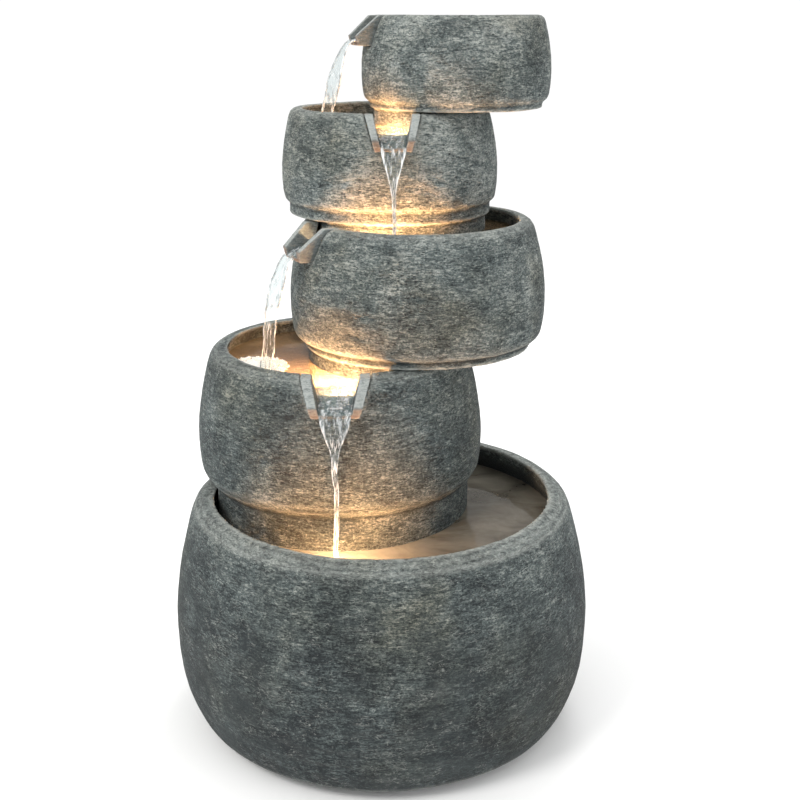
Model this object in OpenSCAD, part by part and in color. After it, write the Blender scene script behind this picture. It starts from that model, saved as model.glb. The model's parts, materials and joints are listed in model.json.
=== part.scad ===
// Five-bowl cascading water fountain, millimetres, +Z up, -Y is the front.
// The origin is on the ground at the axis of the base bowl.

/* [Base bowl] */
// Greatest outer radius
base_r = 260; // [256:1:270]
// Outer radius at the bottom corner
base_heel = 230; // [224:1:240]
// Inner radius of the mouth at the rim
base_mouth = 206; // [204:1:212]
// Height of the rim above the ground
base_rim = 295; // [285:1:297]
// Radius of the foot ring
base_foot = 207; // [195:1:215]

/* [Second bowl] */
// Position of the axis
second_at = [-52, 45]; // [-60:1:60]
// Greatest outer radius
second_r = 177.5; // [172:0.5:182]
// Outer radius at the bottom corner
second_heel = 170; // [166:1:174]
// Inner radius of the mouth at the rim
second_mouth = 137.5; // [135:0.5:142]
// Height of the rim above the ground
second_rim = 471; // [466:1:471]
// Radius of the straight foot
second_foot = 162; // [156:1:164]

/* [Third bowl] */
// Position of the axis
third_at = [45, 57]; // [-60:1:60]
// Greatest outer radius
third_r = 156.5; // [152:0.5:160]
// Outer radius at the bottom corner
third_heel = 151.5; // [148:0.5:154]
// Inner radius of the mouth at the rim
third_mouth = 122; // [119:1:126]
// Height of the rim above the ground
third_rim = 626; // [620:1:627]
// Radius of the foot ring
third_foot = 140.5; // [136:0.5:144]

/* [Fourth bowl] */
// Position of the axis
fourth_at = [11, 96]; // [0:1:110]
// Greatest outer radius
fourth_r = 132; // [128:1:136]
// Outer radius at the bottom corner
fourth_heel = 128; // [124:1:131]
// Inner radius of the mouth at the rim
fourth_mouth = 105; // [102:1:108]
// Height of the rim above the ground
fourth_rim = 753.5; // [748:0.5:754]
// Radius of the foot ring
fourth_foot = 123.5; // [120:0.5:126]

/* [Top bowl] */
// Position of the axis
top_at = [90, 81]; // [70:1:95]
// Greatest outer radius
top_r = 113; // [109:1:117]
// Outer radius at the bottom corner
top_heel = 108.5; // [105:0.5:111]
// Inner radius of the mouth at the rim
top_mouth = 88; // [85:1:91]
// Height of the rim above the ground
top_rim = 860; // [852:1:868]
// Radius of the foot ring
top_foot = 103.5; // [100:0.5:106]

/* [Spouts] */
// Scale of the spouts of the second to the top bowl
spout_scale = [1, 1, 1, 0.87]; // [0.8:0.01:1.1]
// How far a spout stands out of the rim
spout_reach = 30; // [24:1:34]
// Drop from the rim to the outer end of an ear
ear_drop = 26.5; // [22:0.5:29]
// Drop from the rim to the underside of a spout
spout_drop = 39; // [36:1:43]
// Drop from the rim to the sill where the water leaves the bowl
sill_drop = 20; // [16:1:24]
// Thickness of the spout floor at the lip
lip_thick = 4; // [3:0.5:6]
// Compass angles of the spouts of the second to the top bowl
spout_turn = [-89, -154, -88, -166]; // [-180:1:180]

/* [Water system] */
// Position of the riser tube
tube_at = [30, 53]; // [28:1:32]
// Outer radius of the riser tube
tube_r = 8; // [7:0.5:8]
// Wall of the riser tube
tube_wall = 2; // [1.5:0.5:2.5]
// Outer radius of a lamp
lamp_r = 13; // [11:1:14]
// Height of a lamp housing
lamp_h = 18; // [15:1:20]
// Radius of a lamp cable
cable_r = 2; // [1.5:0.25:2]

/* [Hidden] */
$fn = 64;
BASE = 0;
SECOND = 1;
THIRD = 2;
FOURTH = 3;
TOP = 4;
NAMES = ["base", "second", "third", "fourth", "top"];
LAMPS = [1, 2, 3, 4];
LAMP_PARTS = ["housing", "board", "lens", "cup", "cable"];

// ---- Bowl dimensions, one entry per bowl from the base up ----
AT = [[0, 0], second_at, third_at, fourth_at, top_at];
MAX_R = [base_r, second_r, third_r, fourth_r, top_r];
HEEL = [base_heel, second_heel, third_heel, fourth_heel, top_heel];
MOUTH = [base_mouth, second_mouth, third_mouth, fourth_mouth, top_mouth];
RIM = [base_rim, second_rim, third_rim, fourth_rim, top_rim];
FOOT = [base_foot, second_foot, third_foot, fourth_foot, top_foot];
WALL = [23, 20, 16, 15, 14];
FLOOR_WALL = [18, 14, 14, 14, 14];
CORNER = [12, 21, 8, 5, 6];
LIP_ROUND = [14, 10, 9, 7, 6];
PEAK = [0.46, 0.36, 0.36, 0.35, 0.37];
// Height of each body's underside, of its foot ring and of the floor of its pool
PAD_LIFT = 2;
RING_H = [8, 0, 10.5, 14.5, 7];
REST_GAP = [0, 6, 1, 2.5, 1.5];
LOW = [
    PAD_LIFT + RING_H[0],
    RIM[0] + REST_GAP[1],
    RIM[1] + REST_GAP[2] + RING_H[2],
    RIM[2] + REST_GAP[3] + RING_H[3],
    RIM[3] + REST_GAP[4] + RING_H[4]
];
POOL = [0, 95, 90, 76, 70];
FLOOR = [LOW[0] + FLOOR_WALL[0], for (b = [SECOND:TOP]) RIM[b] - POOL[b]];
CURVE_UP = 1.75;
CURVE_LOW = 2.8;
FLOOR_ROUND = 14;

// ---- Fits and clearances ----
EPS = 0.01;
JOINT_GAP = 0.2;
SEAT_GAP = 0.2;
NECK_PLAY = 3;
NECK_INSET = 5;
NECK_WALL = 13;
RUN = 0.05;

// ---- Outline of a bowl ----
STEPS = 18;
function rise(b, z) = (z - LOW[b]) / (RIM[b] - LOW[b]);
function upper(b, t) = (MAX_R[b] - MOUTH[b] - WALL[b]) * pow((t - PEAK[b]) / (1 - PEAK[b]), CURVE_UP);
function lower(b, t) = (MAX_R[b] - HEEL[b]) * pow((PEAK[b] - t) / PEAK[b], CURVE_LOW);
function belly(b, z) = MAX_R[b] - (rise(b, z) > PEAK[b] ? upper(b, rise(b, z)) : lower(b, rise(b, z)));
function ease(d, c) = d < c ? c - sqrt(c * c - pow(c - max(d, 0), 2)) : 0;
function skin(b, z) = belly(b, z) - ease(z - LOW[b], CORNER[b]) - ease(RIM[b] - z, LIP_ROUND[b]);
function lining(b, z) = belly(b, z) - WALL[b] - ease(z - FLOOR[b], FLOOR_ROUND);
// Heights from a to c, close together near both ends
function levels(a, c) = [for (i = [0:STEPS]) a + (c - a) * (1 - cos(180 * i / STEPS)) / 2];

module at_bowl(b) {
    translate([AT[b].x, AT[b].y, 0]) children();
}

module body_solid(b) {
    outline = [for (z = levels(LOW[b], RIM[b])) [skin(b, z), z]];
    rotate_extrude() polygon(concat([[0, LOW[b]]], outline, [[0, RIM[b]]]));
}

module basin_void(b) {
    wall = [for (z = levels(FLOOR[b], RIM[b])) [lining(b, z), z]];
    over = RIM[b] + 40;
    rotate_extrude() polygon(concat([[0, FLOOR[b]]], wall, [[MOUTH[b], over], [0, over]]));
}

// Hollow under the raised floor of an upper bowl, where there is room for one
SKIRT = 14;
LEAST_HOLLOW = 12;
HOLLOW_INSET = 2;

module under_void(b) {
    z0 = LOW[b] + SKIRT;
    z1 = FLOOR[b] - FLOOR_WALL[b];
    if (z1 - z0 > LEAST_HOLLOW) {
        wall = [for (z = levels(z0, z1)) [belly(b, z) - WALL[b] - HOLLOW_INSET, z]];
        rotate_extrude() polygon(concat([[0, z0]], wall, [[0, z1]]));
    }
}

// ---- Neck: the foot that stands in the pool of the bowl below ----
function neck_r(b) = b == SECOND ? FOOT[b] : FOOT[b] - NECK_INSET;
function ring_low(b) = LOW[b] - RING_H[b];

module neck_lens(b, inset, z0, z1) {
    intersection() {
        at_bowl(b) translate([0, 0, z0]) cylinder(r = neck_r(b) - inset, h = z1 - z0, $fn = 128);
        at_bowl(b - 1) translate([0, 0, z0 - 1])
            cylinder(r = MOUTH[b - 1] - NECK_PLAY - inset, h = z1 - z0 + 2, $fn = 128);
    }
}

// Openings at the neck's lower edge for water and cables
NOTCH_W = 28;
NOTCH_H = 20;
NOTCH_TURN = [[], [-86, 10, 118], [-138, 60, 165], [-90, 35, 160], [-150, -10, 80]];

module neck_notches(b) {
    at_bowl(b) for (turn = NOTCH_TURN[b])
        rotate(turn) translate([0, -NOTCH_W / 2, FLOOR[b - 1] - 1])
            cube([neck_r(b) + 5, NOTCH_W, NOTCH_H + 1]);
}

// ---- Shaft for the riser tube and the lamp cables ----
SHAFT_R = 14;
SHAFT_LONG = 28;
COLLAR_WALL = 5;
COLLAR_DROP = 10;

module shaft_prism(r, z0, z1) {
    translate([tube_at.x, tube_at.y, z0]) linear_extrude(z1 - z0) {
        circle(r);
        translate([0, SHAFT_LONG]) circle(r);
        translate([-r, 0]) square([2 * r, SHAFT_LONG]);
    }
}

// ---- Spouts ----
SPOUT_WIDE = [0, 80, 68, 64, 60];
SPOUT_LIP = [0, 54, 45, 42, 40];
EAR_WALL = 12.5 / 80;
EAR_LIP = 10 / 54;
SPOUT_BACK = 45;
SPOUT_SET = 2;
LIP_RAKE = 3;
LIP_FALL = 1;
SPOUT_OVER = 10;
CHANNEL_OVER = 20;
BLOCK = 120;
function reach_of(b) = spout_reach * spout_scale[b - 1];
function ear_of(b) = ear_drop * spout_scale[b - 1];
function drop_of(b) = spout_drop * spout_scale[b - 1];
function sill_of(b) = sill_drop * spout_scale[b - 1];

module at_spout(b) {
    at_bowl(b) translate([0, 0, RIM[b]]) rotate(spout_turn[b - 1])
        translate([MOUTH[b] + WALL[b] - SPOUT_SET, 0, 0]) children();
}

// A block between two outlines: side is [out, up], wide and low are its widths at the rim and at its foot
module spout_block(b, side, wide, low, gap) {
    intersection() {
        translate([0, BLOCK / 2, 0]) rotate([90, 0, 0]) linear_extrude(BLOCK) polygon(side);
        translate([-BLOCK / 2, 0, 0]) rotate([90, 0, 90]) linear_extrude(BLOCK) polygon([
            [-wide / 2 - gap, CHANNEL_OVER],
            [-wide / 2 - gap, 0],
            [-low / 2 - gap, -drop_of(b) - gap],
            [low / 2 + gap, -drop_of(b) - gap],
            [wide / 2 + gap, 0],
            [wide / 2 + gap, CHANNEL_OVER]
        ]);
    }
}

module spout_envelope(b, gap) {
    over = gap > 0 ? SPOUT_OVER : 0;
    side = [
        [-SPOUT_BACK, over],
        [0, over],
        [reach_of(b), gap > 0 ? SPOUT_OVER : -ear_of(b)],
        [reach_of(b) - LIP_RAKE, -drop_of(b) - gap],
        [-SPOUT_BACK, -drop_of(b) - gap]
    ];
    spout_block(b, side, SPOUT_WIDE[b], SPOUT_LIP[b], gap);
}

module spout_channel(b) {
    out = reach_of(b) + 5;
    side = [
        [-SPOUT_BACK - 1, CHANNEL_OVER],
        [out, CHANNEL_OVER],
        [out, -drop_of(b) + lip_thick - LIP_FALL],
        [reach_of(b), -drop_of(b) + lip_thick],
        [-WALL[b], -sill_of(b)],
        [-SPOUT_BACK - 1, -sill_of(b)]
    ];
    spout_block(b, side, SPOUT_WIDE[b] * (1 - 2 * EAR_WALL), SPOUT_LIP[b] * (1 - 2 * EAR_LIP), 0);
}

module spout(b) {
    difference() {
        at_spout(b) spout_envelope(b, 0);
        at_spout(b) spout_channel(b);
        at_bowl(b) basin_void(b);
    }
}

// ---- Bowls ----
GLAND_TURN = 75;
GLAND_Z = 275;
GLAND_HOLE = 7.2;
GLAND_FACE = 230;
GLAND_SEAT = 214;
GLAND_RECESS = 13;
FITTING_HOLE = 11;
PAD_R = 14;
PAD_H = 4;
PAD_RING = 170;

module at_gland() {
    rotate(GLAND_TURN) translate([0, 0, GLAND_Z]) rotate([0, 90, 0]) children();
}

module foot_pads(r, h) {
    for (turn = [45:90:315])
        rotate(turn) translate([PAD_RING, 0, 0]) cylinder(r = r, h = h);
}

module base_bowl() {
    color([0.42, 0.47, 0.46]) difference() {
        union() {
            body_solid(BASE);
            translate([0, 0, PAD_LIFT]) cylinder(r = base_foot, h = RING_H[0] + 4, $fn = 128);
        }
        basin_void(BASE);
        foot_pads(PAD_R + 0.3, PAD_H);
        at_gland() translate([0, 0, GLAND_SEAT - 1])
            cylinder(r = GLAND_HOLE, h = GLAND_FACE - GLAND_SEAT + 2);
        at_gland() translate([0, 0, GLAND_FACE]) cylinder(r = GLAND_RECESS, h = 30);
        at_gland() translate([0, 0, GLAND_SEAT - 30]) cylinder(r = GLAND_RECESS, h = 30);
    }
}

module stacked_shell(b) {
    difference() {
        union() {
            at_bowl(b) body_solid(b);
            at_bowl(b) translate([0, 0, ring_low(b)])
                cylinder(r = FOOT[b], h = RING_H[b] + 6, $fn = 128);
            neck_lens(b, 0, FLOOR[b - 1] + SEAT_GAP, LOW[b] + 2);
        }
        at_bowl(b) basin_void(b);
        at_bowl(b) under_void(b);
        neck_lens(b, NECK_WALL, FLOOR[b - 1] - 1, min(LOW[b] + SKIRT + 1, FLOOR[b] - FLOOR_WALL[b]));
        neck_notches(b);
        at_spout(b) spout_envelope(b, JOINT_GAP);
    }
}

module middle_bowl(b) {
    difference() {
        union() {
            stacked_shell(b);
            shaft_prism(SHAFT_R + COLLAR_WALL, FLOOR[b] - 2, RIM[b] - COLLAR_DROP);
        }
        shaft_prism(SHAFT_R, LOW[b], RIM[b]);
    }
}

module top_bowl() {
    color([0.44, 0.49, 0.48]) difference() {
        stacked_shell(TOP);
        translate([tube_at.x, tube_at.y, LOW[TOP]]) cylinder(r = FITTING_HOLE, h = 40);
    }
}

module base_feet() {
    color([0.1, 0.1, 0.1]) foot_pads(PAD_R, PAD_H);
}

// ---- Cable gland in the rear wall of the base bowl ----
GLAND_THREAD = 7;
GLAND_TAIL = 8;
GLAND_BORE = 4.5;
FLANGE_R = 12;
FLANGE_H = 3;
DOME_R = 8.5;
DOME_END = 249.5;
SEAL_AT = 237;
SEAL_BORE = 3.5;
SEAL_R = 5;
SEAL_H = 12;
NUT_R = 11.5;
NUT_H = 5.8;

module gland_body() {
    tail = GLAND_SEAT - GLAND_TAIL;
    color([0.12, 0.12, 0.12]) at_gland() difference() {
        union() {
            translate([0, 0, tail]) cylinder(r = GLAND_THREAD, h = GLAND_FACE - tail + EPS);
            translate([0, 0, GLAND_FACE]) cylinder(r = FLANGE_R, h = FLANGE_H);
            translate([0, 0, GLAND_FACE + FLANGE_H])
                cylinder(r = DOME_R, h = DOME_END - GLAND_FACE - FLANGE_H);
        }
        translate([0, 0, tail - 1]) cylinder(r = GLAND_BORE, h = 50);
        translate([0, 0, SEAL_AT]) cylinder(r = SEAL_R + 0.1, h = 20);
    }
}

module gland_nut() {
    color([0.12, 0.12, 0.12]) at_gland() translate([0, 0, GLAND_SEAT - NUT_H - JOINT_GAP]) difference() {
        cylinder(r = NUT_R, h = NUT_H, $fn = 6);
        translate([0, 0, -1]) cylinder(r = GLAND_THREAD + 0.1, h = NUT_H + 2);
    }
}

module gland_seal() {
    color([0.2, 0.2, 0.2]) at_gland() translate([0, 0, SEAL_AT + 0.1]) difference() {
        cylinder(r = SEAL_R, h = SEAL_H);
        translate([0, 0, -1]) cylinder(r = SEAL_BORE, h = SEAL_H + 2);
    }
}

// ---- Riser tube and the outlet in the top bowl ----
TUBE_LOW = 98;
TUBE_TOP = FLOOR[TOP] - 5;
SOCKET_LOW = FLOOR[TOP] - FLOOR_WALL[TOP] - 16;

module at_tube(z) {
    translate([tube_at.x, tube_at.y, z]) children();
}

module ring_solid(outer, inner, h) {
    difference() {
        cylinder(r = outer, h = h);
        translate([0, 0, -1]) cylinder(r = inner, h = h + 2);
    }
}

module riser_tube() {
    color([0.75, 0.78, 0.78]) at_tube(TUBE_LOW)
        ring_solid(tube_r, tube_r - tube_wall, TUBE_TOP - TUBE_LOW);
}

OUTLET_FLANGE_R = 16;
OUTLET_FLANGE_H = 3;
NOZZLE_R = 10;
NOZZLE_H = 9;
WASHER_H = 2;
WASHER_R = 15.5;
OUTLET_NUT_H = 8;

module outlet_fitting() {
    flange = FLOOR[TOP] + WASHER_H;
    color([0.13, 0.13, 0.14]) difference() {
        union() {
            at_tube(SOCKET_LOW) cylinder(r = FITTING_HOLE - 0.3, h = flange - SOCKET_LOW);
            at_tube(flange) cylinder(r = OUTLET_FLANGE_R, h = OUTLET_FLANGE_H);
            at_tube(flange + OUTLET_FLANGE_H) cylinder(r = NOZZLE_R, h = NOZZLE_H);
        }
        at_tube(SOCKET_LOW - 1) cylinder(r = tube_r + RUN, h = TUBE_TOP + 1 - SOCKET_LOW + 1);
        at_tube(SOCKET_LOW) cylinder(r = tube_r - tube_wall, h = 60);
    }
}

module outlet_washer() {
    color([0.05, 0.05, 0.05]) at_tube(FLOOR[TOP]) ring_solid(WASHER_R, FITTING_HOLE, WASHER_H);
}

module outlet_nut() {
    color([0.13, 0.13, 0.14]) at_tube(FLOOR[TOP] - FLOOR_WALL[TOP] - JOINT_GAP - OUTLET_NUT_H) difference() {
        cylinder(r = OUTLET_FLANGE_R, h = OUTLET_NUT_H, $fn = 6);
        translate([0, 0, -1]) cylinder(r = FITTING_HOLE, h = OUTLET_NUT_H + 2);
    }
}

// ---- Pump: its axis runs along X under the riser tube ----
PUMP_W = 50;
PUMP_H = 54;
PUMP_Z = 63;
MOTOR_X0 = -45;
MOTOR_X1 = 17;
COVER_X1 = 39;
STRAINER_X1 = 60;
WELL_R = 10;
WELL_X0 = -18;
MAGNET_R = 9.4;
PIN_R = 2;
CHAMBER_R = 18.5;
EYE_R = 9;
SCREW_AT = 20;
SCREW_R = 1.5;
SCREW_HEAD_R = 2.8;
SCREW_HEAD_H = 1.8;
PUMP_CORNER = 7;
RIBS_X = [-39:6:9];
RIB_T = 2;
RIB_OUT = 1;
CUP_X = [-36, 6];
CUP_Y = [-17, 17];
CUP_STEM_R = 3;
CUP_TOP = 39;
MAGNET_X0 = -16;
MAGNET_X1 = 17;
HUB_R = 6;
HUB_L = 14;
DISC_X = 19.5;
DISC_R = 16.5;
BLADE_IN = 4;
BLADE_T = 1.8;
BLADE_H = 11;
COVER_W = 48;
COVER_H = 50;
COVER_CORNER = 6;
CHAMBER_X1 = 34;
SPIGOT_Z = 83;
SPIGOT_R = 9;
SPIGOT_TOP = 133;
PORT_R = 4;
WEB_T = 2;
WEB_L = 3;

// Children are drawn with their +Z along +X, starting at x0 on the pump axis
module along_pump(x0) {
    translate([x0, tube_at.y, PUMP_Z]) rotate([90, 0, 90]) children();
}

module round_rect(w, h, r) {
    translate([-w / 2 + r, -h / 2]) square([w - 2 * r, h]);
    translate([-w / 2, -h / 2 + r]) square([w, h - 2 * r]);
    for (x = [-1, 1], y = [-1, 1])
        translate([x * (w / 2 - r), y * (h / 2 - r)]) circle(r);
}

module at_screws(x0) {
    for (a = [-SCREW_AT, SCREW_AT], c = [-SCREW_AT, SCREW_AT])
        translate([x0, tube_at.y + a, PUMP_Z + c]) rotate([0, 90, 0]) children();
}

module pump_body() {
    color([0.1, 0.11, 0.12]) difference() {
        union() {
            along_pump(MOTOR_X0) linear_extrude(MOTOR_X1 - MOTOR_X0)
                round_rect(PUMP_W, PUMP_H, PUMP_CORNER);
            for (x = RIBS_X)
                along_pump(x) linear_extrude(RIB_T)
                    round_rect(PUMP_W + 2 * RIB_OUT, PUMP_H + 2 * RIB_OUT, PUMP_CORNER + RIB_OUT);
        }
        along_pump(WELL_X0) cylinder(r = WELL_R, h = 60);
        along_pump(WELL_X0 - 6) cylinder(r = PIN_R + RUN, h = 60);
        at_screws(MOTOR_X1 - 10) cylinder(r = SCREW_R + RUN, h = 20);
        for (x = CUP_X, y = CUP_Y)
            translate([x, tube_at.y + y, CUP_TOP - 9]) cylinder(r = CUP_STEM_R + JOINT_GAP, h = 9);
    }
}

module pump_shaft() {
    color([0.93, 0.93, 0.9]) along_pump(WELL_X0 - 5.8) cylinder(r = PIN_R, h = 60);
}

module pump_impeller() {
    color([0.2, 0.2, 0.22]) difference() {
        union() {
            along_pump(MAGNET_X0) cylinder(r = MAGNET_R, h = MAGNET_X1 - MAGNET_X0);
            along_pump(MAGNET_X1) cylinder(r = HUB_R, h = HUB_L);
            along_pump(DISC_X) cylinder(r = DISC_R, h = BLADE_T);
            for (turn = [0:60:300])
                along_pump(DISC_X + 0.5) rotate(turn) translate([BLADE_IN, -BLADE_T / 2, 0])
                    cube([DISC_R - BLADE_IN, BLADE_T, BLADE_H]);
        }
        along_pump(MAGNET_X0 - 4) cylinder(r = PIN_R + RUN, h = 60);
    }
}

module pump_cover() {
    color([0.1, 0.11, 0.12]) difference() {
        union() {
            along_pump(MOTOR_X1 + EPS) linear_extrude(COVER_X1 - MOTOR_X1)
                round_rect(COVER_W, COVER_H, COVER_CORNER);
            at_tube(SPIGOT_Z) cylinder(r = SPIGOT_R, h = TUBE_LOW - SPIGOT_Z);
            at_tube(SPIGOT_Z) cylinder(r = tube_r - tube_wall - RUN, h = SPIGOT_TOP - SPIGOT_Z);
        }
        along_pump(MOTOR_X1 - 1) cylinder(r = CHAMBER_R, h = CHAMBER_X1 - MOTOR_X1 + 1);
        difference() {
            along_pump(MOTOR_X1) cylinder(r = EYE_R, h = 30);
            along_pump(COVER_X1 - WEB_L) cylinder(r = 2 * PIN_R, h = WEB_L + 1);
            for (turn = [0, 120, 240])
                along_pump(COVER_X1 - WEB_L) rotate(turn) translate([0, -WEB_T / 2, 0])
                    cube([EYE_R + 2, WEB_T, WEB_L + 1]);
        }
        along_pump(MOTOR_X1) cylinder(r = PIN_R + RUN, h = 30);
        at_tube(PUMP_Z) cylinder(r = PORT_R, h = SPIGOT_TOP - PUMP_Z + 1);
        at_screws(MOTOR_X1 - 1) cylinder(r = SCREW_R + RUN, h = 30);
    }
}

module pump_screws() {
    color([0.7, 0.7, 0.72]) {
        at_screws(MOTOR_X1 - 9) cylinder(r = SCREW_R, h = COVER_X1 - MOTOR_X1 + 9.1);
        at_screws(COVER_X1 + 0.1) cylinder(r = SCREW_HEAD_R, h = SCREW_HEAD_H);
    }
}

// ---- Strainer with its foam and flow dial; it pulls off along +X ----
STRAINER_X0 = 39.5;
STRAINER_SKIN = 2;
SLOT_W = 3;
SLOT_STEP = 6;
FACE_SLOT_L = 38;
SIDE_SLOT_L = 10;
FOAM_X0 = 42.5;
FOAM_SIZE = [42, 46, 9];
DIAL_AT = [15, -15];
DIAL_R = 8;
DIAL_H = 3.5;
DIAL_STEM = 6;
HOOK_R = 4;
HOOK_H = 3.3;

module at_dial(x0) {
    along_pump(x0) translate([DIAL_AT.x, DIAL_AT.y, 0]) children();
}

module pump_strainer() {
    inside = STRAINER_SKIN * 2;
    color([0.12, 0.13, 0.14]) difference() {
        along_pump(STRAINER_X0) linear_extrude(STRAINER_X1 - STRAINER_X0)
            round_rect(PUMP_W, PUMP_H, PUMP_CORNER);
        along_pump(STRAINER_X0 - 1) linear_extrude(STRAINER_X1 - STRAINER_X0 + 1 - STRAINER_SKIN)
            round_rect(PUMP_W - inside, PUMP_H - inside, PUMP_CORNER - STRAINER_SKIN);
        for (z = [-4:SLOT_STEP:20])
            along_pump(STRAINER_X1 - 5) translate([-FACE_SLOT_L / 2, z - SLOT_W / 2, 0])
                cube([FACE_SLOT_L, SLOT_W, 10]);
        for (z = [-16:SLOT_STEP:20])
            translate([STRAINER_X0 + 6, tube_at.y - 40, PUMP_Z + z - SLOT_W / 2])
                cube([SIDE_SLOT_L, 80, SLOT_W]);
        at_dial(STRAINER_X1 - 5) cylinder(r = PIN_R + RUN, h = 10);
    }
}

module filter_foam() {
    color([0.15, 0.2, 0.35]) difference() {
        along_pump(FOAM_X0) translate([-FOAM_SIZE.x / 2, -FOAM_SIZE.y / 2, 0]) cube(FOAM_SIZE);
        along_pump(STRAINER_X0) cylinder(r = 7, h = 20);
        at_dial(STRAINER_X0) cylinder(r = HOOK_R + 1, h = 20);
    }
}

module flow_dial() {
    color([0.55, 0.56, 0.58]) at_dial(STRAINER_X1 + 0.2) {
        difference() {
            cylinder(r = DIAL_R, h = DIAL_H);
            translate([-1, 2, DIAL_H - 1]) cube([2, 5, 2]);
        }
        translate([0, 0, -DIAL_STEM]) cylinder(r = PIN_R, h = DIAL_STEM + EPS);
        translate([0, 0, -DIAL_STEM]) cylinder(r = HOOK_R, h = HOOK_H);
        for (turn = [0:45:315])
            rotate(turn) translate([DIAL_R - 0.5, -0.8, 0]) cube([1.2, 1.6, DIAL_H]);
    }
}

// A suction cup standing on its mouth, with a stem up
module cup_solid(r, stem_r, cup_h, stem_h) {
    rotate_extrude() polygon([
        [0, 2], [r * 0.6, 0.8], [r, 0], [r, 0.8], [r * 0.55, 3.2],
        [stem_r + 1, cup_h], [stem_r, cup_h], [stem_r, cup_h + stem_h], [0, cup_h + stem_h]
    ]);
}

PUMP_CUP_R = 8.5;
PUMP_CUP_H = 6.5;

module pump_cups() {
    color([0.06, 0.06, 0.06]) for (x = CUP_X, y = CUP_Y)
        translate([x, tube_at.y + y, FLOOR[BASE]]) cup_solid(PUMP_CUP_R, CUP_STEM_R, PUMP_CUP_H, 3);
}

// ---- Lamps: one in the pool of every bowl but the top one ----
CUP_H = 8;
LAMP_AT = [[-45, -190], [-62, -72], [12, -52], [0, 5]];
LAMP_1_Z = 222;
function lamp_z(n) = n == 1 ? LAMP_1_Z : FLOOR[n - 1] + CUP_H;
LAMP_1_TURN = atan2(LAMP_AT[0].y, LAMP_AT[0].x);

module at_lamp(n) {
    translate([LAMP_AT[n - 1].x, LAMP_AT[n - 1].y, lamp_z(n)]) children();
}

LAMP_STEP = 3;
LAMP_NECK = 2;
LAMP_WALL = 3.5;
LAMP_BASE = 5;
BOARD_Z = 7;
BOARD_H = 1.6;
CHIP = [2.8, 2.8, 1.2];
CHIP_RING = 5;
LENS_H = 5;
LENS_BEVEL = 2;
STEM_R = 3;
STEM_H = 2.5;
STEM_HOLE = 3.1;

module lamp_housing(n) {
    color([0.1, 0.1, 0.11]) at_lamp(n) difference() {
        union() {
            cylinder(r = lamp_r, h = lamp_h - LAMP_STEP);
            cylinder(r = lamp_r - LAMP_NECK, h = lamp_h);
        }
        translate([0, 0, LAMP_BASE]) cylinder(r = lamp_r - LAMP_WALL, h = lamp_h);
        if (n > 1) translate([0, 0, -1]) cylinder(r = STEM_HOLE, h = 4);
        else rotate(LAMP_1_TURN) translate([lamp_r - 3, 0, BOARD_Z])
            rotate([0, 90, 0]) cylinder(r = STEM_HOLE, h = 8);
    }
}

module lamp_board(n) {
    color([0.9, 0.88, 0.8]) at_lamp(n) translate([0, 0, BOARD_Z]) {
        cylinder(r = lamp_r - LAMP_WALL - 0.3, h = BOARD_H);
        for (turn = [0:60:300])
            rotate(turn) translate([CHIP_RING - CHIP.x / 2, -CHIP.y / 2, BOARD_H - EPS]) cube(CHIP);
    }
}

module lamp_lens(n) {
    foot = lamp_h - LAMP_STEP + JOINT_GAP;
    color([0.95, 0.95, 0.9, 0.6]) at_lamp(n) difference() {
        union() {
            translate([0, 0, foot]) cylinder(r = lamp_r, h = LENS_H);
            translate([0, 0, foot + LENS_H]) cylinder(r1 = lamp_r, r2 = lamp_r - 3, h = LENS_BEVEL);
        }
        translate([0, 0, lamp_h - 6]) cylinder(r = lamp_r - LAMP_NECK + 0.1, h = 6 + JOINT_GAP);
    }
}

module lamp_cup(n) {
    color([0.07, 0.07, 0.07]) {
        if (n > 1) at_lamp(n) translate([0, 0, -CUP_H]) cup_solid(lamp_r - 1, STEM_R, CUP_H, STEM_H);
        else at_lamp(n) rotate(LAMP_1_TURN) translate([lamp_r + LAMP_1_GAP, 0, BOARD_Z])
            rotate([0, -90, 0]) cup_solid(lamp_r - 3, STEM_R, LAMP_1_GAP, STEM_H);
    }
}
// Room between the first lamp's housing and the base bowl's wall
LAMP_1_GAP = lining(BASE, LAMP_1_Z + 16) - norm(LAMP_AT[0]) - lamp_r - 0.4;

// ---- Cables: tubes swept along rounded routes ----
CABLE_SIDES = 8;
BEND = 9;
function unit(v) = v / norm(v);
function between(a, c, d) = a + unit(c - a) * min(d, norm(c - a) / 2 - 0.1);
function corner_points(a, c, e, d) =
    let (p = between(c, a, d), q = between(c, e, d))
    [p, 0.25 * p + 0.5 * c + 0.25 * q, q];
function rounded(p, d) = [
    p[0],
    for (i = [1:len(p) - 2]) each corner_points(p[i - 1], p[i], p[i + 1], d),
    p[len(p) - 1]
];
function tangents(p) = [for (i = [0:len(p) - 1]) unit(p[min(i + 1, len(p) - 1)] - p[max(i - 1, 0)])];
// A direction that no route starts along
SEED = [1, 2, 3];
function normals(t, out = [SEED]) =
    len(out) > len(t) ? [for (i = [1:len(t)]) out[i]] :
    let (k = t[len(out) - 1], last = out[len(out) - 1])
    normals(t, concat(out, [unit(last - k * (k * last))]));

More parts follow.
